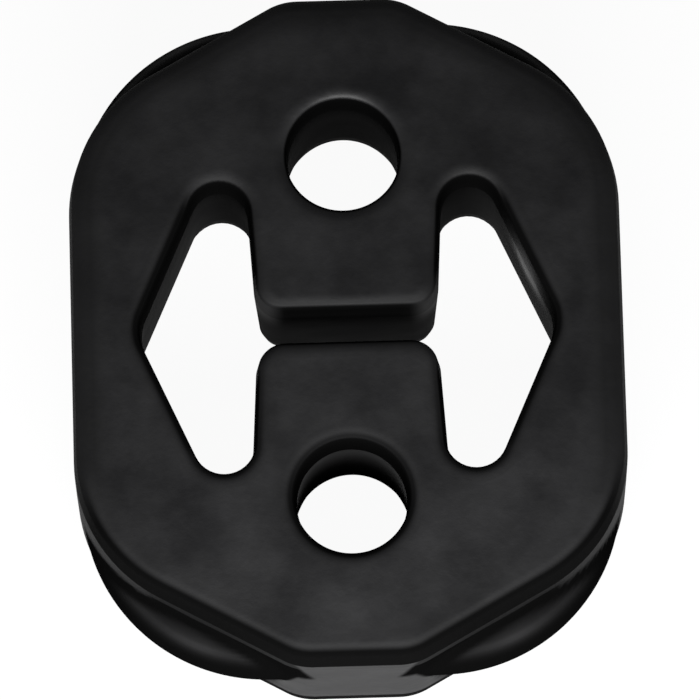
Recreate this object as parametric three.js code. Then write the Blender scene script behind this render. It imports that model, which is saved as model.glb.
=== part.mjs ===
// Exhaust rubber mount: one moulded block of black rubber that hangs a car's exhaust from two rods.
// Two round rod holes lie above and below an H-shaped opening, whose tongues meet as bump stops.
// Millimetres. The block lies on its back face: +Z up through the front face, +Y to the upper hole.
import * as THREE from "three";
import { mergeVertices } from "three/addons/utils/BufferGeometryUtils.js";

const NODE = "rubber_mount";

// The eight-sided plates that form the front and the back of the block.
const PLATE_WIDTH = 56.5;
const PLATE_HEIGHT = 70.2;
const THICKNESS = 19.8;
const FLAT_LENGTH = 12;
const CHAMFER_ANGLE = THREE.MathUtils.degToRad(29.1);
const SHOULDER_RADIUS = 16.5;
const FLAT_CORNER_RADIUS = 6.5;

// The core between the plates: a rounded rectangle with a half-round edge all along it. It lies just
// inside the plates' sides and ends, and bulges out as a lobe behind each of their slanted edges.
const CORE_SIDE_INSET = 0.75;
const CORE_END_INSET = 0.55;
const CORE_RADIUS = 18.6;
const CORE_EDGE_RADIUS = 5.4;
const CORE_FILLET = 0.2;

// Every edge of both faces: a small rounding, then a band that slopes to a crease in the wall.
const RIM_RADIUS = 0.9;
const CREASE_DEPTH = 3.6;
const BAND_LEAN = 0.45;

// The round holes for the hanger rods, measured at the front face before the rim is added.
const ROD_HOLE_RADIUS = 5.5;
const ROD_HOLE_OFFSET = 18.1;

// The H-shaped opening, measured the same way: two tall windows joined by the slot.
const SLOT_HEIGHT = 2.7;
const TONGUE_WIDTH = 18.8;
const TONGUE_CORNER_RADIUS = 3.2;
const WINDOW_OUTER_X = 21.3;
const WINDOW_OUTER_RADIUS = 4;
const WINDOW_APEX_X = 10.7;
const WINDOW_APEX_Y = 23.8;
const WINDOW_APEX_RADIUS = 2.8;

// The openings widen by this much on each side from the front face to the back face, more so along the
// block than across it.
const DRAFT_ACROSS = 0.6;
const DRAFT_ALONG = 1.3;

// How finely the curves are divided.
const RIM_STEPS = 3;
const LOBE_STEPS = 12;
const ARC_STEP = THREE.MathUtils.degToRad(9);
const HOLE_STEPS = 44;
const STRAIGHT_STEP = 2.6;
const WELD = 1e-5;

/** Pairs each corner point of a closed outline with its rounding radius. */
function corner(x, y, radius) {
  return { at: new THREE.Vector2(x, y), radius };
}

/** Turns a direction a quarter turn clockwise: the outward normal of an anticlockwise outline. */
function outwardOf(direction) {
  return new THREE.Vector2(direction.y, -direction.x);
}

/** The tangent points, centre and turn of the arc that rounds one corner. */
function roundingOf(before, here, after) {
  const arriving = here.at.clone().sub(before.at).normalize();
  const leaving = after.at.clone().sub(here.at).normalize();
  const turn = Math.atan2(arriving.cross(leaving), arriving.dot(leaving));
  const setback = here.radius * Math.tan(Math.abs(turn) / 2);
  const start = here.at.clone().addScaledVector(arriving, -setback);
  const side = Math.sign(turn);
  const centre = start.clone().addScaledVector(outwardOf(arriving), -side * here.radius);
  return { start, centre, turn, side, arriving, radius: here.radius };
}

/** The points of one corner's arc, each with the outline's outward normal there. */
function arcPoints(rounding) {
  const steps = Math.max(2, Math.ceil(Math.abs(rounding.turn) / ARC_STEP));
  const origin = new THREE.Vector2();
  return Array.from({ length: steps + 1 }, (_, i) => {
    const normal = outwardOf(rounding.arriving).rotateAround(origin, (rounding.turn * i) / steps);
    const at = rounding.centre.clone().addScaledVector(normal, rounding.side * rounding.radius);
    return { at, normal };
  });
}

/** The points strictly between two arcs along a straight side, no further apart than the step. */
function straightPoints(from, to, step) {
  const pieces = Math.max(1, Math.ceil(from.at.distanceTo(to.at) / step));
  const normal = outwardOf(to.at.clone().sub(from.at).normalize());
  return Array.from({ length: pieces - 1 }, (_, i) => ({
    at: from.at.clone().lerp(to.at, (i + 1) / pieces),
    normal,
  }));
}

/** An anticlockwise closed outline through rounded corners. */
function roundedOutline(corners, step) {
  const count = corners.length;
  const arcs = corners.map((here, i) =>
    arcPoints(roundingOf(corners[(i + count - 1) % count], here, corners[(i + 1) % count])),
  );
  return arcs.flatMap((arc, i) => [
    ...arc,
    ...straightPoints(arc[arc.length - 1], arcs[(i + 1) % count][0], step),
  ]);
}

/** Mirrors a quarter's corners, in anticlockwise order, into a full outline. */
function fourfold(quarter) {
  const flip = (list, sx, sy) => list.map((c) => corner(sx * c.at.x, sy * c.at.y, c.radius));
  const back = [...quarter].reverse();
  return [...quarter, ...flip(back, -1, 1), ...flip(quarter, -1, -1), ...flip(back, 1, -1)];
}

/** The plates' outline at the crease, where they are widest. */
function plateOutline() {
  const halfWidth = PLATE_WIDTH / 2;
  const halfHeight = PLATE_HEIGHT / 2;
  const halfFlat = FLAT_LENGTH / 2;
  const shoulder = halfHeight - (halfWidth - halfFlat) * Math.tan(CHAMFER_ANGLE);
  const quarter = [
    corner(halfWidth, shoulder, SHOULDER_RADIUS),
    corner(halfFlat, halfHeight, FLAT_CORNER_RADIUS),
  ];
  return roundedOutline(fourfold(quarter), STRAIGHT_STEP);
}

/** The H-shaped opening's outline. Its two outermost corners lie on the X axis. */
function openingOutline() {
  const apex = (sx, sy) => corner(sx * WINDOW_APEX_X, sy * WINDOW_APEX_Y, WINDOW_APEX_RADIUS);
  const tip = (sx, sy) =>
    corner((sx * TONGUE_WIDTH) / 2, (sy * SLOT_HEIGHT) / 2, TONGUE_CORNER_RADIUS);
  const outer = (sx) => corner(sx * WINDOW_OUTER_X, 0, WINDOW_OUTER_RADIUS);
  const upperHalf = [outer(1), apex(1, 1), tip(1, 1), tip(-1, 1), apex(-1, 1)];
  const lowerHalf = [outer(-1), apex(-1, -1), tip(-1, -1), tip(1, -1), apex(1, -1)];
  return roundedOutline([...upperHalf, ...lowerHalf], Infinity);
}

/** A round hole's outline, centred on the Y axis. */
function holeOutline(centreY) {
  return Array.from({ length: HOLE_STEPS }, (_, i) => {
    const angle = (2 * Math.PI * i) / HOLE_STEPS;
    const normal = new THREE.Vector2(Math.cos(angle), Math.sin(angle));
    const at = normal.clone().multiplyScalar(ROD_HOLE_RADIUS).add(new THREE.Vector2(0, centreY));
    return { at, normal };
  });
}

/** Depths below a face, with how far the rim has drawn back there: from the face to the crease. */
function rimLevels() {
  const rounding = Array.from({ length: RIM_STEPS + 1 }, (_, i) => {
    const angle = (Math.PI / 2) * (1 - i / RIM_STEPS);
    const depth = RIM_RADIUS * (1 - Math.sin(angle));
    return { depth, setback: BAND_LEAN + RIM_RADIUS * (1 - Math.cos(angle)) };
  });
  return [...rounding, { depth: CREASE_DEPTH, setback: 0 }];
}

/** All heights from the back face to the front face, with the rim's setback at each. */
function wallLevels(middleHeights) {
  const rim = rimLevels();
  const back = rim.map(({ depth, setback }) => ({ z: depth, setback }));
  const front = rim.map(({ depth, setback }) => ({ z: THICKNESS - depth, setback })).reverse();
  const middle = middleHeights.map((z) => ({ z, setback: 0 }));
  return [...back, ...middle, ...front];
}

/** Heights spread evenly round the core's half-round edge, so that they crowd where it is steep. */
function lobeHeights() {
  return Array.from({ length: LOBE_STEPS + 1 }, (_, i) => {
    const angle = Math.PI * (i / LOBE_STEPS - 1 / 2);
    return THICKNESS / 2 + CORE_EDGE_RADIUS * Math.sin(angle);
  });
}

/** How far the core's half-round edge has curved back at a height, or null above and below it. */
function coreSetback(z) {
  const rise = Math.abs(z - THICKNESS / 2);
  if (rise >= CORE_EDGE_RADIUS) return null;
  return CORE_EDGE_RADIUS - Math.sqrt(CORE_EDGE_RADIUS ** 2 - rise ** 2);
}

/** The way from a point straight out to the core's outline: its direction, and its signed length. */
function wayToCore(at) {
  const centreX = PLATE_WIDTH / 2 - CORE_SIDE_INSET - CORE_RADIUS;
  const centreY = PLATE_HEIGHT / 2 - CORE_END_INSET - CORE_RADIUS;
  const x = Math.max(0, Math.abs(at.x) - centreX);
  const y = Math.max(0, Math.abs(at.y) - centreY);
  const reach = Math.hypot(x, y);
  const direction = new THREE.Vector2(Math.sign(at.x) * x, Math.sign(at.y) * y).divideScalar(reach);
  return { direction, length: CORE_RADIUS - reach };
}

/** How far a lobe stands out of the wall: nothing where the core lies inside, with a soft foot. */
function lobeBulge(coreLength, setback) {
  if (setback === null) return 0;
  const gap = coreLength - setback;
  return (gap + Math.hypot(gap, CORE_FILLET)) / 2;
}

/** The block's outer wall, as one ring of points for each height. */
function outerRings() {
  const outline = plateOutline();
  const ways = outline.map(({ at }) => wayToCore(at));
  return wallLevels(lobeHeights()).map(({ z, setback }) => {
    const coreBack = coreSetback(z);
    return outline.map(({ at, normal }, i) => {
      const { direction, length } = ways[i];
      const bulge = lobeBulge(length, coreBack);
      const point = at.clone().addScaledVector(normal, -setback).addScaledVector(direction, bulge);
      return new THREE.Vector3(point.x, point.y, z);
    });
  });
}

/** An opening's wall: the outline grows by the rim's setback and by the draft towards the back. */
function openingRings(outline) {
  const draft = new THREE.Vector2(DRAFT_ACROSS, DRAFT_ALONG);
  return wallLevels([]).map(({ z, setback }) => {
    const growth = draft.clone().multiplyScalar(1 - z / THICKNESS).addScalar(setback);
    return outline.map(({ at, normal }) => {
      const point = normal.clone().multiply(growth).add(at);
      return new THREE.Vector3(point.x, point.y, z);
    });
  });
}

/** The triangles between neighbouring rings, facing away from the ring's middle. */
function wallTriangles(rings) {
  const count = rings[0].length;
  return rings.slice(1).flatMap((upper, k) => {
    const lower = rings[k];
    return lower.flatMap((a, i) => {
      const j = (i + 1) % count;
      return [a, lower[j], upper[j], a, upper[j], upper[i]];
    });
  });
}

/** Turns triangles over, so that they face the other way. */
function turned(points) {
  return points.map((_, i) => points[i - (i % 3) + [0, 2, 1][i % 3]]);
}

/** A flat face with its openings left out, facing up. */
function faceTriangles(outer, holes) {
  const flat = (ring) => ring.map(({ x, y }) => new THREE.Vector2(x, y));
  const triangles = THREE.ShapeUtils.triangulateShape(flat(outer), holes.map(flat));
  const all = [outer, ...holes].flat();
  return triangles.flat().map((index) => all[index]);
}

/** The closed surface of the whole block. */
function blockGeometry() {
  const outer = outerRings();
  const openings = [
    openingRings(holeOutline(ROD_HOLE_OFFSET)),
    openingRings(holeOutline(-ROD_HOLE_OFFSET)),
    openingRings(openingOutline()),
  ];
  const backFace = faceTriangles(outer[0], openings.map((rings) => rings[0]));
  const frontFace = faceTriangles(outer.at(-1), openings.map((rings) => rings.at(-1)));
  const points = [
    ...wallTriangles(outer),
    ...openings.flatMap((rings) => turned(wallTriangles(rings))),
    ...turned(backFace),
    ...frontFace,
  ];
  const geometry = new THREE.BufferGeometry().setFromPoints(points);
  return mergeVertices(geometry, WELD);
}

const geometry = blockGeometry();
geometry.computeVertexNormals();
const material = new THREE.MeshStandardMaterial({ color: 0x1c1c1d, roughness: 0.55, metalness: 0 });
const mount = new THREE.Mesh(geometry, material);
mount.name = NODE;

const part = new THREE.Group();
part.name = "exhaust_rubber_mount";
part.add(mount);

export default part;
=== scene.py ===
"""Exhaust rubber mount: the moulded block with its finish, and a plain studio round it.

The block lies on its back face. Metres, with +Z up through the front face and +Y towards the upper rod hole.
"""

import math

import bpy
import numpy as np
from bpy.props import FloatProperty, FloatVectorProperty, PointerProperty
from bpy.types import Operator, Panel, PropertyGroup
from mathutils import Matrix, Vector
from mathutils.geometry import delaunay_2d_cdt


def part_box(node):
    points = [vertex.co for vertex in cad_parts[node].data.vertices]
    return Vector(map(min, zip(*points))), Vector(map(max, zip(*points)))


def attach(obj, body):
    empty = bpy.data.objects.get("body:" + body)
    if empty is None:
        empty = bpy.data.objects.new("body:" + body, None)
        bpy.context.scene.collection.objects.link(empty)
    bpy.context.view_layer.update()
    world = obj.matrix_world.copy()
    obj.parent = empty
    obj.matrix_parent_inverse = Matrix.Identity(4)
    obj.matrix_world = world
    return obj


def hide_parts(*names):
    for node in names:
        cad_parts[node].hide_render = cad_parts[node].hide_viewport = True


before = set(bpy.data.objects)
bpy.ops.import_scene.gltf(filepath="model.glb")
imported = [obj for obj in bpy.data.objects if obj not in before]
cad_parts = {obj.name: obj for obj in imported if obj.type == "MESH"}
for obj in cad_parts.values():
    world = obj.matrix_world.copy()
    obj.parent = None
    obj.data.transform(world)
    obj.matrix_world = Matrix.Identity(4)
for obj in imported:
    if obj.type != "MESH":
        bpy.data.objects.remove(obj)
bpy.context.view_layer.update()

bl_info = {
    "name": "Exhaust Rubber Mount",
    "version": (1, 0, 0),
    "blender": (4, 5, 0),
    "location": "View3D > Sidebar > Rubber Mount",
    "description": "Builds a moulded rubber exhaust mount and a plain studio for it",
    "category": "Add Mesh",
}

NODE = "rubber_mount"
# The point attribute for how matt the rubber is. Matt places are a darker black, painted shade, and satin places
# catch painted highlights.
MATT_AND_PAINTED_LIGHT = "dullness_and_painted_light"
LOW, HIGH = (np.array(corner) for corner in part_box(NODE))
WIDTH, HEIGHT, THICKNESS = (float(v) for v in HIGH - LOW)
MM = 0.001

# Points on an outline: along each corner's arc and along each side, and round a rod hole.
PLATE_STEPS = (20, 32)
OPENING_STEPS = (16, 16)
HOLE_STEPS = 128
# Rows of points on a wall, in a rim, on a band, at a crease and on a lobe.
RIM_ROWS = 14
BAND_ROWS = 4
CREASE_ROWS = 7
LOBE_ROWS = 41
# How far a crease's rows spread to both sides of it, in crease softnesses.
CREASE_SPREAD = 3
# Where the rows on a flat face lie, in rim reaches from the outer edge and from an opening's edge.
OUTER_MARGIN = (2.6, 1.9, 1.3)
OPENING_MARGIN = (1.3, 1.15)
# For the flat faces: keep the triangles inside the outline, and take points as one when nearer than this.
INSIDE_OUTLINE = 1
SAME_POINT = 1e-9

# Real sizes of the rubber's patterns. A mould's blasted grain is about 0.1 mm, too fine to show, and drawn coarser.
CLOUD_SIZE = 9 * MM
SWELL_SIZE = 14 * MM
GRAIN_SIZE = 0.9 * MM
SWELL_HEIGHT = 2 * MM
GRAIN_HEIGHT = 0.1 * MM

# The floor's half width, and the hair's breadth by which it lies under the block.
FLOOR_REACH = 3.0
FLOOR_GAP = 0.02 * MM
# How much of the paper the camera sees as lit evenly. The rest keeps the shadow.
EVEN_SHARE = 0.95


def linear(hex_colour):
    """An sRGB hex colour as linear red, green and blue."""
    srgb = np.array([int(hex_colour[i : i + 2], 16) for i in (1, 3, 5)]) / 255
    return tuple(float(v) for v in np.where(srgb <= 0.04045, srgb / 12.92, ((srgb + 0.055) / 1.055) ** 2.4))


def length(name, description, default):
    """A length in metres that the panel shows."""
    return FloatProperty(
        name=name, description=description, default=default, min=0.0, unit="LENGTH", subtype="DISTANCE", precision=5
    )


def angle(name, description, degrees):
    """An angle that the panel shows."""
    return FloatProperty(name=name, description=description, default=math.radians(degrees), subtype="ANGLE")


def colour(name, description, hex_colour):
    """A colour that the panel shows."""
    return FloatVectorProperty(
        name=name, description=description, default=linear(hex_colour), min=0.0, max=1.0, subtype="COLOR"
    )


class MountSizes(PropertyGroup):
    """Sizes of the moulded block."""

    plate_width: length("Plate width", "Across the two plates, side to side", WIDTH)
    plate_height: length("Plate height", "Across the two plates, end to end", HEIGHT)
    thickness: length("Thickness", "From the back face to the front face", THICKNESS)
    flat_length: length("Flat length", "The straight part at each end, corner to corner", 12 * MM)
    chamfer_angle: angle("Chamfer angle", "How steeply the plates' slanted edges fall away from the flats", 29.1)
    shoulder_radius: length("Shoulder radius", "Where a slanted edge turns into a side", 16.5 * MM)
    flat_corner_radius: length("Flat corner radius", "Where a slanted edge meets a flat", 6.5 * MM)
    core_side_inset: length("Core side inset", "How far the core lies inside the plates' sides", 0.75 * MM)
    core_end_inset: length("Core end inset", "How far the core lies inside the plates' ends", 0.55 * MM)
    core_radius: length("Core radius", "The core's corners, which show as lobes", 18.6 * MM)
    core_edge_radius: length("Core edge radius", "The core's half-round edge", 5.4 * MM)
    core_fillet: length("Core fillet", "How softly a lobe leaves the wall", 0.2 * MM)
    rim_depth: length("Rim depth", "How far down the rounding of a face's edge reaches", 0.7 * MM)
    rim_reach: length("Rim reach", "How far in from the edge the front face starts to round off", 1.4 * MM)
    back_rim_reach: length("Back rim reach", "The same for the back face, where the walls are thinner", 0.9 * MM)
    crease_depth: length("Crease depth", "From a face down to the crease in the wall", 3.6 * MM)
    band_lean: length("Band lean", "How far the band above the crease leans back", 0.45 * MM)
    crease_softness: length("Crease softness", "The small rounding of the crease", 0.06 * MM)
    hole_radius: length("Rod hole radius", "A rod hole at the front face", 5.5 * MM)
    hole_offset: length("Rod hole offset", "From the middle of the block to a rod hole", 18.1 * MM)
    slot_height: length("Slot height", "The gap between the tongues", 2.7 * MM)
    tongue_width: length("Tongue width", "Across a tongue", 18.8 * MM)
    tongue_radius: length("Tongue corner radius", "A tongue's corners", 3.2 * MM)
    window_x: length("Window reach", "From the middle to a window's outer corner", 21.3 * MM)
    window_radius: length("Window outer radius", "A window's outer corner", 4.0 * MM)
    apex_x: length("Window end, across", "A window's pointed end, across the block", 10.7 * MM)
    apex_y: length("Window end, along", "A window's pointed end, along the block", 23.8 * MM)
    apex_radius: length("Window end radius", "The rounding of a window's ends", 2.8 * MM)
    draft_across: length("Draft across", "How much the openings widen sideways towards the back", 0.6 * MM)
    draft_along: length("Draft along", "How much the openings widen endways towards the back", 1.3 * MM)


class MountFinish(PropertyGroup):
    """Colours and gloss of the rubber."""

    rubber: colour("Rubber", "Carbon-black rubber", "#101011")
    bloom: colour("Bloom", "Greyer patches where wax has come to the surface", "#19191a")
    # The matt black is darker than the skin: besides a duller finish, it is painted shade on the bands, in the
    # grooves and in the openings.
    matt_shade: colour("Matt rubber", "The dull black of the bands and the openings", "#050505")


class StudioSettings(PropertyGroup):
    """The floor and the camera's place."""

    floor: colour("Floor", "Pale paper", "#f4f4f4")
    elevation: angle("Elevation", "Camera above the floor", 74.59)
    roll: angle("Roll", "Camera turned about its own axis", 1.588)
    distance: length("Distance", "From the camera to the middle of the block", 0.975)


def turned_right(direction):
    """Directions turned a quarter turn clockwise: the outward normals of an anticlockwise outline."""
    return np.stack([direction[..., 1], -direction[..., 0]], axis=-1)


def rounded_outline(corners, arc_steps, side_steps):
    """A closed anticlockwise outline through corners, given as rows of x, y and radius.

    Each corner is cut by an arc that is tangent to both its sides, and starts radius times the tangent of half
    the turn before the corner. Arcs and sides are sampled evenly. Returns the points and their outward normals.
    """
    at, radius = corners[:, :2], corners[:, 2:]
    arriving = at - np.roll(at, 1, axis=0)
    arriving /= np.linalg.norm(arriving, axis=1, keepdims=True)
    leaving = np.roll(arriving, -1, axis=0)
    cross = arriving[:, 0] * leaving[:, 1] - arriving[:, 1] * leaving[:, 0]
    turn = np.arctan2(cross, (arriving * leaving).sum(axis=1))[:, None]
    start = at - arriving * radius * np.tan(np.abs(turn) / 2)
    side = np.sign(turn)
    centre = start - turned_right(arriving) * side * radius
    turned = turn * np.linspace(0, 1, arc_steps + 1)
    right = turned_right(arriving)[:, None, :]
    ahead = arriving[:, None, :]
    arc_normals = right * np.cos(turned)[..., None] + ahead * np.sin(turned)[..., None]
    arcs = centre[:, None, :] + (side * radius)[:, None, :] * arc_normals
    share = np.linspace(0, 1, side_steps + 1)[1:-1, None]
    next_start = np.roll(start, -1, axis=0)[:, None, :]
    sides = arcs[:, -1:, :] * (1 - share) + next_start * share
    side_normals = np.broadcast_to(turned_right(leaving)[:, None, :], sides.shape)
    points = np.concatenate([arcs, sides], axis=1).reshape(-1, 2)
    normals = np.concatenate([arc_normals, side_normals], axis=1).reshape(-1, 2)
    return points, normals


def fourfold(quarter):
    """A quarter's corners, anticlockwise, mirrored into all four quarters."""
    flips = np.array([[1, 1, 1], [-1, 1, 1], [-1, -1, 1], [1, -1, 1]])
    return np.concatenate([quarter * flip if i % 2 == 0 else quarter[::-1] * flip for i, flip in enumerate(flips)])


def plate_outline(s):
    """The plates' eight-sided outline at the crease, where they are widest."""
    half_width, half_height, half_flat = s.plate_width / 2, s.plate_height / 2, s.flat_length / 2
    shoulder = half_height - (half_width - half_flat) * math.tan(s.chamfer_angle)
    quarter = np.array([[half_width, shoulder, s.shoulder_radius], [half_flat, half_height, s.flat_corner_radius]])
    return rounded_outline(fourfold(quarter), *PLATE_STEPS)


def opening_outline(s):
    """The H-shaped opening: two tall windows joined by the slot between the tongues."""
    outer = [s.window_x, 0, s.window_radius]
    apex = [s.apex_x, s.apex_y, s.apex_radius]
    tip = [s.tongue_width / 2, s.slot_height / 2, s.tongue_radius]
    upper_right = np.array([outer, apex, tip])
    upper_left = upper_right[::-1] * [-1, 1, 1]
    upper = np.concatenate([upper_right, upper_left[:-1]])
    return rounded_outline(np.concatenate([upper, upper * [-1, -1, 1]]), *OPENING_STEPS)


def hole_outline(s, centre_y):
    """A rod hole's circle and its outward normals."""
    around = np.linspace(0, 2 * math.pi, HOLE_STEPS, endpoint=False)
    normals = np.stack([np.cos(around), np.sin(around)], axis=1)
    return normals * s.hole_radius + [0, centre_y], normals


def wall_profile(s, margin):
    """The walls' heights from the back face to the front face, and how far the wall has drawn back at each.

    A band is a straight slope that ends in a softened crease, and a quarter of an ellipse takes it into the face.
    The first and last rows lie on the flat faces, as far in as the margin says. Rows are close together in the
    rims, at the creases and on the lobes.
    """
    turn = np.linspace(0, math.pi / 2, RIM_ROWS)
    band = np.linspace(s.rim_depth, s.crease_depth, BAND_ROWS + 2)[1:-1]
    crease = s.crease_depth + s.crease_softness * np.linspace(-CREASE_SPREAD, CREASE_SPREAD, CREASE_ROWS)
    margin = np.array(margin)
    depth = np.concatenate([0 * margin, s.rim_depth * (1 - np.cos(turn)), band, crease])
    slope = s.band_lean * (s.crease_depth - depth) / s.crease_depth
    setback = (slope + np.hypot(slope, s.crease_softness * s.band_lean / s.crease_depth)) / 2
    rounding = np.zeros(len(depth))
    rounding[: len(margin) + RIM_ROWS] = np.concatenate([margin, 1 - np.sin(turn)])
    lobe = s.thickness / 2 + s.core_edge_radius * np.sin(np.linspace(-math.pi / 2, math.pi / 2, LOBE_ROWS))
    heights = np.concatenate([depth, lobe, (s.thickness - depth)[::-1]])
    back, front = setback + s.back_rim_reach * rounding, setback + s.rim_reach * rounding
    return heights, np.concatenate([back, np.full(LOBE_ROWS, setback[-1]), front[::-1]])


def lobe_bulge(s, points, heights):
    """How far the core's lobes move the wall outwards, as an array of height by point by two.

    The core's half-round edge draws back by a circle's fall. Where it still lies outside the wall, it shows, and
    a hyperbola softens its foot.
    """
    centre = np.array(
        [
            s.plate_width / 2 - s.core_side_inset - s.core_radius,
            s.plate_height / 2 - s.core_end_inset - s.core_radius,
        ]
    )
    beyond = np.clip(np.abs(points) - centre, 0, None)
    reach = np.linalg.norm(beyond, axis=1, keepdims=True)
    direction = np.sign(points) * beyond / reach
    rise = np.abs(heights - s.thickness / 2)
    inside = np.clip(s.core_edge_radius**2 - rise**2, 0, None)
    gap = (s.core_radius - reach[:, 0])[None, :] - (s.core_edge_radius - np.sqrt(inside))[:, None]
    bulge = (gap + np.hypot(gap, s.core_fillet)) / 2
    bulge[rise >= s.core_edge_radius] = 0
    return bulge[..., None] * direction[None, :, :]


def outer_wall(s):
    """The block's outer wall: the plates' outline drawn back at the rims and moved out by the lobes."""
    points, normals = plate_outline(s)
    heights, setback = wall_profile(s, OUTER_MARGIN)
    flat = points[None, :, :] - setback[:, None, None] * normals[None, :, :]
    flat = flat + lobe_bulge(s, points, heights)
    return with_heights(flat, heights)


def opening_wall(s, outline):
    """An opening's wall: its outline grown by the rim's setback, and by the draft towards the back."""
    points, normals = outline
    heights, setback = wall_profile(s, OPENING_MARGIN)
    draft = np.array([s.draft_across, s.draft_along])
    growth = setback[:, None] + draft * (1 - heights / s.thickness)[:, None]
    return with_heights(points[None, :, :] + growth[:, None, :] * normals[None, :, :], heights)


def with_heights(flat, heights):
    """Rows of flat points lifted to their heights, as an array of row by point by three."""
    lifted = np.broadcast_to(heights[:, None, None], flat.shape[:2] + (1,))
    return np.concatenate([flat, lifted], axis=2)


def grid_faces(rows, columns, start, outward):
    """The four-cornered faces of a wall that closes on itself, facing outwards or into an opening."""
    row, column = np.meshgrid(np.arange(rows - 1), np.arange(columns), indexing="ij")
    across = (column + 1) % columns
    faces = np.stack(
        [row * columns + column, row * columns + across, (row + 1) * columns + across, (row + 1) * columns + column],
        axis=-1,
    ).reshape(-1, 4)
    return start + (faces if outward else faces[:, ::-1])


def inside(points, ring):
    """Whether points lie inside a ring: a ray to the right crosses the ring's sides an odd number of times."""
    start, end = ring, np.roll(ring, -1, axis=0)
    spans = (start[:, 1] > points[:, None, 1]) != (end[:, 1] > points[:, None, 1])
    rise = np.where(end[:, 1] == start[:, 1], 1.0, end[:, 1] - start[:, 1])
    crossing = start[:, 0] + (points[:, None, 1] - start[:, 1]) / rise * (end[:, 0] - start[:, 0])
    return (spans & (points[:, None, 0] < crossing)).sum(axis=1) % 2 == 1


def flat_face(rings, starts, upward):
    """Delaunay triangles between a flat face's outline, which is the first ring, and its openings."""
    index = np.concatenate([start + np.arange(len(ring)) for ring, start in zip(rings, starts)])
    flat = np.concatenate(rings)[:, :2]
    first = np.cumsum([0] + [len(ring) for ring in rings])
    sides = np.concatenate(
        [np.stack([np.arange(a, b), np.roll(np.arange(a, b), -1)], axis=1) for a, b in zip(first, first[1:])]
    )
    made = delaunay_2d_cdt([Vector(p) for p in flat], sides.tolist(), [], INSIDE_OUTLINE, SAME_POINT)
    source = np.array([original[0] for original in made[3]])
    triangles = source[np.array(made[2])]
    middle = flat[triangles].mean(axis=1)
    open_here = np.any([inside(middle, ring[:, :2]) for ring in rings[1:]], axis=0)
    triangles = index[triangles[~open_here]]
    return triangles if upward else triangles[:, ::-1]


def ramp(value, start, end):
    """A smooth step from 0 at start to 1 at end."""
    t = np.clip((value - start) / (end - start), 0, 1)
    return t * t * (3 - 2 * t)


def face_depth(s, heights):
    """How far heights lie below the nearer face."""
    return np.minimum(heights, s.thickness - heights)


def bell(value, centre, width):
    """A bump of height 1 at the centre."""
    return np.exp(-(((value - centre) / width) ** 2))


def mix(first, second, share):
    """From the first value to the second, by share."""
    return first + (second - first) * share


# The next values map the walls' finish and the light and shade painted into it. Matt runs from 0, satin like the
# faces, to 1: a matt place is duller and a darker black, which is painted shade, and a satin place catches painted
# highlights. Places are in millimetres from the block's middle, across it and along it, and a pair says where a
# change starts and ends.

# A wall counts as an end, or as facing the lower end, by how far its normal points that way.
END_TURN = (0.80, 0.86)
LOWER_TURN = (0.0, 0.5)
SIDE_MATT = 0.6
END_MATT = 0.77
# Where the core's edge runs along an end, up to this share of its radius from mid-thickness, the end is matt and
# darker: painted shade.
CORE_END_SHADE = 1.0
CORE_END_RISE = 0.95
# The flat ends stay satin and lighter, a painted highlight, which fades out towards their corners.
FLAT_END_SHEEN = 0.25
FLAT_END_FADE = (7.5, 10)

# The matt wedge on a flat end is painted shade: the line that it starts from at two heights, and its foot, which
# falls further out.
WEDGE_HEIGHTS = (11.4, 16.2)
WEDGE_LINE = (4.3, 6.1)
WEDGE_LINE_FADE = (-0.3, 0.4)
WEDGE_FOOT = 11.2
WEDGE_FOOT_TURN = 6
WEDGE_FOOT_FALL = 2.2
WEDGE_FOOT_FADE = (-0.5, 0.5)

# A lobe's flank carries a painted highlight: how satin it is by height above mid-thickness, in core edge radii.
FLANK_RISE = (0.36, 0.46, 0.56, 0.62, 0.67, 0.74, 0.9)
FLANK_HIGHLIGHT = (0, 0.08, 0.32, 0.6, 0.4, 0.22, 0.16)
# Its highlight streak's place, its width and how satin the flank is beside it, then its fade towards the block's
# side.
STREAK_PLACE = 15.6
STREAK_WIDTH = 2.5
STREAK_SURROUND = 0.55
FLANK_FADE = (22.5, 26)
FLANK_FADED = 0.4
UPPER_FLANK = 0.5
# How far a lobe stands out where it starts to count, and where the matt groove at its foot, painted shade, gives
# way.
LOBE_BULGE = (0.03, 0.12)
GROOVE_BULGE = (0.7, 1.3)

# The faces' outer rims, by depth in rim depths, and the share that the next row on the face keeps. The lower rims
# are matt and darker, painted shade without a highlight, and the upper ones stay partly satin for a painted
# highlight.
LOWER_RIM_SHADE = 0.975
LOWER_RIM_FADE = (-0.13, 0.37)
UPPER_RIM_MATT = (0.5, 0.8)
UPPER_RIM_FADE = (0.3, 1)
FACE_ROW_SHARE = 0.5


def lobe_highlight(across, along, rise):
    """How satin a lobe's flank is, a painted highlight: a curve over its height, strongest in a streak, and weaker
    on the upper lobes.
    """
    flank = np.interp(rise, FLANK_RISE, FLANK_HIGHLIGHT)
    streak = mix(STREAK_SURROUND, 1, bell(across, STREAK_PLACE, STREAK_WIDTH))
    return flank * streak * mix(1, FLANK_FADED, ramp(across, *FLANK_FADE)) * np.where(along > 0, UPPER_FLANK, 1)


def end_shade_wedge(across, height):
    """The matt wedge on a flat end, painted shade: outside a line that leans outwards, and above a foot that falls
    away.
    """
    outside = across - np.interp(height, WEDGE_HEIGHTS, WEDGE_LINE)
    above = height - WEDGE_FOOT + WEDGE_FOOT_FALL * np.clip(across - WEDGE_FOOT_TURN, 0, None)
    return ramp(outside, *WEDGE_LINE_FADE) * ramp(above, *WEDGE_FOOT_FADE)


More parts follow.
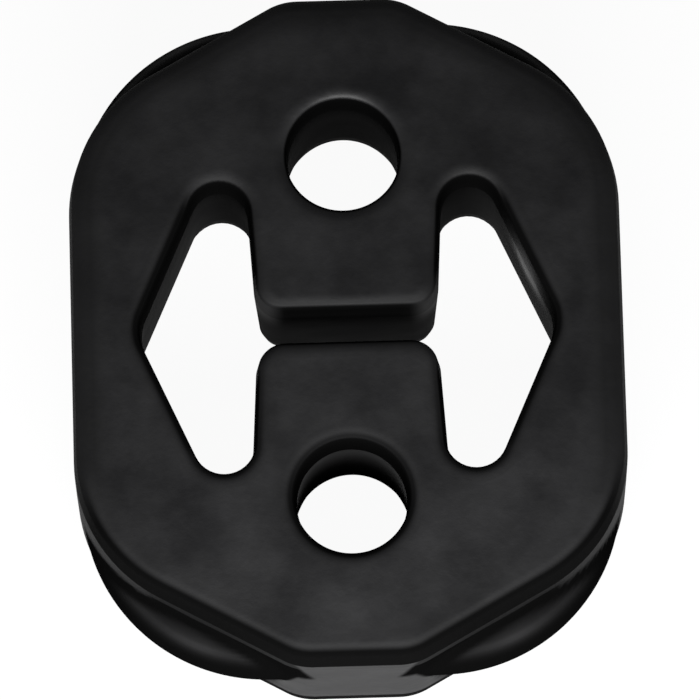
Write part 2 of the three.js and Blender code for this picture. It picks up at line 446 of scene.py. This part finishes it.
def outer_dullness_and_light(s):
    """How matt the outer wall is, by height and point.

    The rims and the bands under them are matt and darker: painted shade. The two flat ends are satin and lighter, a
    painted highlight, with a matt wedge of painted shade where the core runs out. A lobe has a satin streak on its
    flank, a painted highlight, between a matt groove at its foot and a matt crown, both painted shade.
    """
    points, normals = plate_outline(s)
    heights, _ = wall_profile(s, OUTER_MARGIN)
    depth = face_depth(s, heights)[:, None]
    rise = np.abs(heights - s.thickness / 2)[:, None] / s.core_edge_radius
    across, along = np.abs(points[:, 0]) / MM, points[:, 1] / MM
    bulge = np.linalg.norm(lobe_bulge(s, points, heights), axis=2) / MM

    end = ramp(np.abs(normals[:, 1]), *END_TURN)
    wall = mix(SIDE_MATT, np.where(rise < CORE_END_RISE, CORE_END_SHADE, END_MATT), end)
    flat_end = end * (1 - ramp(across, *FLAT_END_FADE)) * (1 - end_shade_wedge(across, heights[:, None] / MM))
    wall = mix(wall, FLAT_END_SHEEN, flat_end)
    lobe = 1 - lobe_highlight(across, along, rise) * ramp(bulge, *GROOVE_BULGE)
    wall = mix(wall, lobe, ramp(bulge, *LOBE_BULGE))

    lower_rim = LOWER_RIM_SHADE * ramp(depth / s.rim_depth, *LOWER_RIM_FADE)
    upper_rim = mix(*UPPER_RIM_MATT, ramp(depth / s.rim_depth, *UPPER_RIM_FADE))
    rim = mix(upper_rim, lower_rim, ramp(-normals[:, 1], *LOWER_TURN))
    dull_and_shaded = np.where(depth < s.crease_depth - s.crease_softness, rim, wall)
    dull_and_shaded[[1, -2]] *= FACE_ROW_SHARE
    dull_and_shaded[[0, -1]] = 0
    return dull_and_shaded


# The openings' rims: where they start, in rim depths, the stretch along the block over which they turn satin, and
# the depth at which they have ended. The satin rims towards the upper end catch painted highlights, and the matt
# ones are painted shade.
RIM_FADE = (-0.1, 0.3)
RIM_ALONG = (-30, 26)
RIM_END = 1.6
# Where a wall faces the upper end, its rim is a little matt and darker: painted shade.
FACING_UP_TURN = (-0.2, 0.6)
FACING_UP_SHADE = 0.2
# A window's outer corner lies beyond the first place, across, and within the second, along.
WINDOW_SIDE = (12, 16)
WINDOW_SIDE_ALONG = (12, 16)
# The windows' outer corners have matt, dark rims, painted shade, and a slight painted sheen on their walls; the
# windows' tops have their rim highlights dimmed.
WINDOW_SIDE_SHADE = 0.95
WINDOW_SIDE_SHEEN = 0.08
WINDOW_TOP_ACROSS = (6.5, 8.5)
WINDOW_TOP_ALONG = (5, 12)
WINDOW_TOP_MATT = 0.3

# The tongues' corners carry a painted glint: this far in from a tongue's side, this near the slot, and down to this
# depth. Further out than the limit lie the windows' outer corners.
CORNER_INSET = (1, 3.2)
CORNER_ALONG = (3, 6)
CORNER_LIMIT = 12
CORNER_DEPTH = (2, 9)
CORNER_GLINT = 0.45
# A glint high on the right window's outer wall: its places and widths, along and below the front face.
GLINT_ACROSS = (14, 18)
GLINT_ALONG = (6.5, 2.5)
GLINT_BELOW = (4.5, 3)
GLINT_SATIN = 1.3

# Each rod hole by its distance along and by its half width across. The lower one has a painted highlight along its
# crease.
LOWER_HOLE_ALONG = (8, 12)
LOWER_HOLE_ACROSS = 7
LOWER_HOLE_HIGHLIGHT = 0.28
LOWER_HOLE_WIDTH = 3.5
UPPER_HOLE_ALONG = (15, 18)
UPPER_HOLE_ACROSS = 6

# Deep down all walls but the lower hole's are slightly less matt and lighter, a painted reflection, and those of the
# slot a little more so.
DEEP_BELOW = (0.8, 9)
DEEP_REFLECTION = 0.055
SLOT_ALONG = 3
SLOT_REFLECTION = 0.04
LEAST_MATT = 0.15
# Where the wall's own finish, with its painted shade, starts, in rim depths, how much later in the upper hole, and
# over what stretch.
WALL_START = 0.15
UPPER_HOLE_DELAY = 0.2
WALL_STRETCH = 0.45


def opening_rim(x, y, facing_up, depth, rim_depth):
    """How matt an opening's rim is, which paints light and shade: less towards the upper end, where it catches
    painted highlights, but for the windows' outer corners, painted shade, and tops, whose painted highlights are
    dimmed.
    """
    side = WINDOW_SIDE_SHADE * ramp(np.abs(x), *WINDOW_SIDE) * (1 - ramp(np.abs(y), *WINDOW_SIDE_ALONG))
    window_top = WINDOW_TOP_MATT * ramp(np.abs(x), *WINDOW_TOP_ACROSS) * ramp(y, *WINDOW_TOP_ALONG)
    matt_shade = np.maximum(1 - ramp(y, *RIM_ALONG), np.maximum(side, window_top))
    rim = ramp(depth / rim_depth, *RIM_FADE) * matt_shade
    rim = np.maximum(rim, FACING_UP_SHADE * ramp(facing_up, *FACING_UP_TURN))
    return rim * (1 - ramp(depth, rim_depth, RIM_END))


def opening_glints_and_sheen(x, y, below, half_tongue, crease):
    """How satin an opening's wall is: the sum of its painted glints and of the painted sheen deep down."""
    inset = half_tongue - np.abs(x)
    tongue_corner = (1 - ramp(inset, *CORNER_INSET)) * (np.abs(x) < CORNER_LIMIT)
    tongue_corner = tongue_corner * (1 - ramp(np.abs(y), *CORNER_ALONG)) * (1 - ramp(below, *CORNER_DEPTH))
    right_glint = ramp(x, *GLINT_ACROSS) * bell(y, *GLINT_ALONG) * bell(below, *GLINT_BELOW)
    side_wall = ramp(np.abs(x), *WINDOW_SIDE) * (below > crease)
    lower_hole = ramp(-y, *LOWER_HOLE_ALONG) * (np.abs(x) < LOWER_HOLE_ACROSS)
    ridge = lower_hole * (below > crease) * bell(below, crease, LOWER_HOLE_WIDTH)
    slot = (np.abs(x) < half_tongue) * (np.abs(y) < SLOT_ALONG)
    deep = (DEEP_REFLECTION + SLOT_REFLECTION * slot) * ramp(below, *DEEP_BELOW) * (1 - lower_hole)
    glints = CORNER_GLINT * tongue_corner + GLINT_SATIN * right_glint
    return glints + WINDOW_SIDE_SHEEN * side_wall + LOWER_HOLE_HIGHLIGHT * ridge + deep


def opening_dullness_and_light(s, outline):
    """How matt an opening's wall is, by height and point.

    The rims shine most at the upper end. Below them all is matt and darker, painted shade, but for painted glints on
    the tongues' corners, on the right window's outer wall and at the lower hole's crease, and a slight painted sheen
    on the windows' outer walls and deep down.
    """
    points, normals = outline
    heights, _ = wall_profile(s, OPENING_MARGIN)
    depth = face_depth(s, heights)[:, None] / MM
    below = (s.thickness - heights)[:, None] / MM
    crease, rim_depth = s.crease_depth / MM, s.rim_depth / MM
    x, y = points.T / MM
    rim = opening_rim(x, y, -normals[:, 1], depth, rim_depth)
    # Painted glints and painted sheen make the wall less matt.
    satin = opening_glints_and_sheen(x, y, below, s.tongue_width / 2 / MM, crease)
    wall = np.clip(1 - satin, LEAST_MATT, 1)
    upper_hole = ramp(y, *UPPER_HOLE_ALONG) * (np.abs(x) < UPPER_HOLE_ACROSS)
    start = WALL_START + UPPER_HOLE_DELAY * upper_hole
    dull_and_shaded = np.maximum(rim, wall * ramp(depth / rim_depth, start, start + WALL_STRETCH))
    dull_and_shaded[[0, -1]] = 0
    return dull_and_shaded


def block_mesh(s):
    """The whole closed surface: the outer wall, three openings' walls and two flat faces.

    Returns the points, how matt each one is with the light and shade painted into that, the walls' four-cornered
    faces and the flat faces' triangles.
    """
    outlines = [hole_outline(s, s.hole_offset), hole_outline(s, -s.hole_offset), opening_outline(s)]
    walls = [(outer_wall(s), outer_dullness_and_light(s), 1)]
    walls += [(opening_wall(s, outline), opening_dullness_and_light(s, outline), -1) for outline in outlines]
    points, dull_and_shaded, quads, backs, fronts, firsts, lasts = [], [], [], [], [], [], []
    start = 0
    for wall, dullness_and_painted_light, sign in walls:
        count, around = wall.shape[:2]
        points.append(wall.reshape(-1, 3))
        dull_and_shaded.append(dullness_and_painted_light.ravel())
        quads.append(grid_faces(count, around, start, sign > 0))
        backs.append(wall[0])
        fronts.append(wall[-1])
        firsts.append(start)
        lasts.append(start + (count - 1) * around)
        start += count * around
    flats = np.concatenate([flat_face(backs, firsts, False), flat_face(fronts, lasts, True)])
    return np.concatenate(points), np.concatenate(dull_and_shaded), np.concatenate(quads), flats


def new_piece(name, points, quads, triangles):
    """A smooth mesh object from arrays of points and faces."""
    mesh = bpy.data.meshes.new(name)
    mesh.from_pydata(points.tolist(), [], quads.tolist() + triangles.tolist())
    mesh.polygons.foreach_set("use_smooth", np.ones(len(mesh.polygons), bool))
    mesh.update()
    piece = bpy.data.objects.new(name, mesh)
    bpy.context.scene.collection.objects.link(piece)
    return piece


def add(tree, kind, settings=(), links=()):
    """Adds a shader node, sets its properties or inputs by name or place, and links its inputs."""
    node = tree.nodes.new("ShaderNode" + kind)
    for key, value in dict(settings).items():
        if isinstance(key, str) and hasattr(node, key):
            setattr(node, key, value)
        else:
            node.inputs[key].default_value = value
    for key, source in dict(links).items():
        tree.links.new(source, node.inputs[key])
    return node


def new_material(name):
    """An empty node material and its node tree."""
    material = bpy.data.materials.new(name)
    material.use_nodes = True
    material.node_tree.nodes.clear()
    return material, material.node_tree


def moulded_rubber(finish):
    """Carbon-black rubber, pressed in a steel mould and left as it came out.

    The eye gets a nearly black, satin skin with cloudy patches of bloom, a faint uneven swell and a fine grain.
    Where the attribute says so, it is matt and a deeper black, which is painted shade: on rims and bands, in the
    grooves and down in the openings. Where it is satin, it catches painted highlights and reflections.
    """
    material, tree = new_material("compression_moulded_rubber")
    place = add(tree, "TexCoord").outputs["Object"]
    dull_and_shaded = add(tree, "Attribute", {"attribute_name": MATT_AND_PAINTED_LIGHT}).outputs["Fac"]
    clouds = add(tree, "TexNoise", {"Scale": 1 / CLOUD_SIZE, "Detail": 4.0, "Roughness": 0.6}, {"Vector": place})
    swell = add(tree, "TexNoise", {"Scale": 1 / SWELL_SIZE, "Detail": 2.0, "Roughness": 0.5}, {"Vector": place})
    grain = add(tree, "TexNoise", {"Scale": 1 / GRAIN_SIZE, "Detail": 3.0, "Roughness": 0.6}, {"Vector": place})
    patches = add(tree, "MapRange", {"From Min": 0.35, "From Max": 0.7}, {"Value": clouds.outputs["Fac"]})
    skin = add(
        tree,
        "Mix",
        {"data_type": "RGBA", 6: (*finish.rubber, 1), 7: (*finish.bloom, 1)},
        {0: patches.outputs["Result"]},
    )
    # Mixing in the matt black by the attribute paints shade, and the specular level follows the attribute, so that
    # only satin places catch painted highlights.
    shaded_colour = add(tree, "Mix", {"data_type": "RGBA", 7: (*finish.matt_shade, 1)}, {0: dull_and_shaded, 6: skin.outputs[2]})
    satin = add(tree, "MapRange", {"To Min": 0.45, "To Max": 0.62}, {"Value": patches.outputs["Result"]})
    gloss = add(tree, "Mix", {"data_type": "FLOAT", 3: 0.9}, {0: dull_and_shaded, 2: satin.outputs["Result"]})
    shine = add(tree, "MapRange", {"To Min": 0.32, "To Max": 0.0}, {"Value": dull_and_shaded})
    low = add(tree, "Bump", {"Strength": 0.3, "Distance": SWELL_HEIGHT}, {"Height": swell.outputs["Fac"]})
    fine = add(
        tree,
        "Bump",
        {"Strength": 0.25, "Distance": GRAIN_HEIGHT},
        {"Height": grain.outputs["Fac"], "Normal": low.outputs[0]},
    )
    rubber = add(
        tree,
        "BsdfPrincipled",
        {"IOR": 1.5, "Metallic": 0.0},
        {
            "Base Color": shaded_colour.outputs[2],
            "Roughness": gloss.outputs[0],
            "Specular IOR Level": shine.outputs["Result"],
            "Normal": fine.outputs[0],
        },
    )
    add(tree, "OutputMaterial", {}, {"Surface": rubber.outputs[0]})
    return material


def pale_paper(studio):
    """Matt white paper. The camera sees it nearly white, and the block's shadow stays on it."""
    material, tree = new_material("matt_white_paper")
    paper = add(tree, "BsdfDiffuse", {"Color": (*studio.floor, 1)})
    glow = add(tree, "Emission", {"Color": (1, 1, 1, 1), "Strength": 1.0})
    path = add(tree, "LightPath")
    camera, mirrored, through = (path.outputs[f"Is {ray} Ray"] for ray in ("Camera", "Glossy", "Transmission"))
    seen = add(tree, "Math", {"operation": "MAXIMUM"}, {0: camera, 1: mirrored})
    seen = add(tree, "Math", {"operation": "MAXIMUM"}, {0: seen.outputs[0], 1: through})
    share = add(tree, "Math", {"operation": "MULTIPLY", 1: EVEN_SHARE}, {0: seen.outputs[0]})
    both = add(tree, "MixShader", {}, {0: share.outputs[0], 1: paper.outputs[0], 2: glow.outputs[0]})
    add(tree, "OutputMaterial", {}, {"Surface": both.outputs[0]})
    return material


class MOUNT_OT_moulded_block(Operator):
    """Builds the moulded block in place of its plain solid"""

    bl_idname = "rubber_mount.moulded_block"
    bl_label = "Moulded Block"

    def execute(self, context):
        scene = context.scene
        points, dullness_and_painted_light, quads, triangles = block_mesh(scene.mount_sizes)
        piece = new_piece("moulded_rubber_block", points, quads, triangles)
        # The points carry the attribute of matt finish with its painted light and shade.
        attribute = piece.data.attributes.new(MATT_AND_PAINTED_LIGHT, "FLOAT", "POINT")
        attribute.data.foreach_set("value", dullness_and_painted_light.astype(np.float32))
        piece.data.materials.append(moulded_rubber(scene.mount_finish))
        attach(piece, "root")
        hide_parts(NODE)
        return {"FINISHED"}


def lamp(name, place, target, size, power):
    """A soft rectangular lamp at a place, facing a target."""
    light = bpy.data.lights.new(name, "AREA")
    light.shape = "RECTANGLE"
    light.size, light.size_y = size
    light.energy = power
    holder = bpy.data.objects.new(name, light)
    holder.location = place
    holder.rotation_euler = (Vector(target) - Vector(place)).to_track_quat("-Z", "Y").to_euler()
    bpy.context.scene.collection.objects.link(holder)


class MOUNT_OT_studio(Operator):
    """Builds the floor, the lamps and the camera"""

    bl_idname = "rubber_mount.studio"
    bl_label = "Studio"

    def execute(self, context):
        scene = context.scene
        studio = scene.mount_studio
        self.build_floor(studio)
        self.build_lamps()
        self.build_world(scene)
        self.build_camera(scene, studio)
        scene.view_settings.view_transform = "Standard"
        return {"FINISHED"}

    def build_floor(self, studio):
        """A wide floor just under the block."""
        corners = np.array([[-1, -1, 0], [1, -1, 0], [1, 1, 0], [-1, 1, 0]]) * FLOOR_REACH - [0, 0, FLOOR_GAP]
        floor = new_piece("floor", corners, np.array([[0, 1, 2, 3]]), np.zeros((0, 3), int))
        floor.data.materials.append(pale_paper(studio))

    def build_lamps(self):
        """A soft lamp above and beyond the lower end, and wide, low ones all round that draw out the rims."""
        lamp("key_lamp", (0, -0.125, 0.12), (0, -0.04, 0.01), (0.14, 0.05), 0.6)
        for name, place, power in (
            ("low_lamp", (0, -0.42, 0.08), 1.75),
            ("left_lamp", (-0.42, 0, 0.08), 0.15),
            ("right_lamp", (0.42, 0, 0.08), 0.15),
            ("back_lamp", (0, 0.42, 0.08), 0.12),
        ):
            lamp(name, place, (0, 0, 0.01), (0.50, 0.08), power)

    def build_world(self, scene):
        """A dim, even room."""
        world = bpy.data.worlds.new("plain_room")
        world.use_nodes = True
        background = world.node_tree.nodes["Background"]
        background.inputs["Color"].default_value = (1, 1, 1, 1)
        background.inputs["Strength"].default_value = 0.05
        scene.world = world

    def build_camera(self, scene, studio):
        """A long lens tilted from straight above towards the lower end, at the photograph's angle."""
        focal_pixels, image_pixels = 9466.0, 700.0
        offset = (-2.23, -0.80)
        camera = bpy.data.cameras.new("camera")
        camera.sensor_width = 36.0
        camera.lens = focal_pixels / image_pixels * camera.sensor_width
        camera.shift_x = -offset[0] / image_pixels
        camera.shift_y = offset[1] / image_pixels
        camera.clip_start, camera.clip_end = 0.01, 20.0
        holder = bpy.data.objects.new("camera", camera)
        tilt = math.pi / 2 - studio.elevation
        turn = Matrix.Rotation(tilt, 4, "X") @ Matrix.Rotation(-studio.roll, 4, "Z")
        middle = Matrix.Translation((0, 0, scene.mount_sizes.thickness / 2))
        holder.matrix_world = middle @ turn @ Matrix.Translation((0, 0, studio.distance))
        scene.collection.objects.link(holder)
        scene.camera = holder


class MOUNT_PT_panel(Panel):
    """The mount's sizes, finish and studio"""

    bl_idname = "MOUNT_PT_panel"
    bl_label = "Rubber Mount"
    bl_space_type = "VIEW_3D"
    bl_region_type = "UI"
    bl_category = "Rubber Mount"

    def draw(self, context):
        for group, operator in (
            (context.scene.mount_sizes, MOUNT_OT_moulded_block),
            (context.scene.mount_finish, None),
            (context.scene.mount_studio, MOUNT_OT_studio),
        ):
            box = self.layout.box()
            for name in group.__annotations__:
                box.prop(group, name)
            if operator:
                box.operator(operator.bl_idname)


CLASSES = (MountSizes, MountFinish, StudioSettings, MOUNT_OT_moulded_block, MOUNT_OT_studio, MOUNT_PT_panel)


def register():
    """Adds the classes, and the settings to the scene."""
    for cls in CLASSES:
        bpy.utils.register_class(cls)
    bpy.types.Scene.mount_sizes = PointerProperty(type=MountSizes)
    bpy.types.Scene.mount_finish = PointerProperty(type=MountFinish)
    bpy.types.Scene.mount_studio = PointerProperty(type=StudioSettings)


def unregister():
    """Takes them away again."""
    del bpy.types.Scene.mount_studio
    del bpy.types.Scene.mount_finish
    del bpy.types.Scene.mount_sizes
    for cls in reversed(CLASSES):
        bpy.utils.unregister_class(cls)


def main():
    """Builds everything."""
    register()
    bpy.ops.rubber_mount.moulded_block()
    bpy.ops.rubber_mount.studio()


if __name__ == "__main__":
    main()
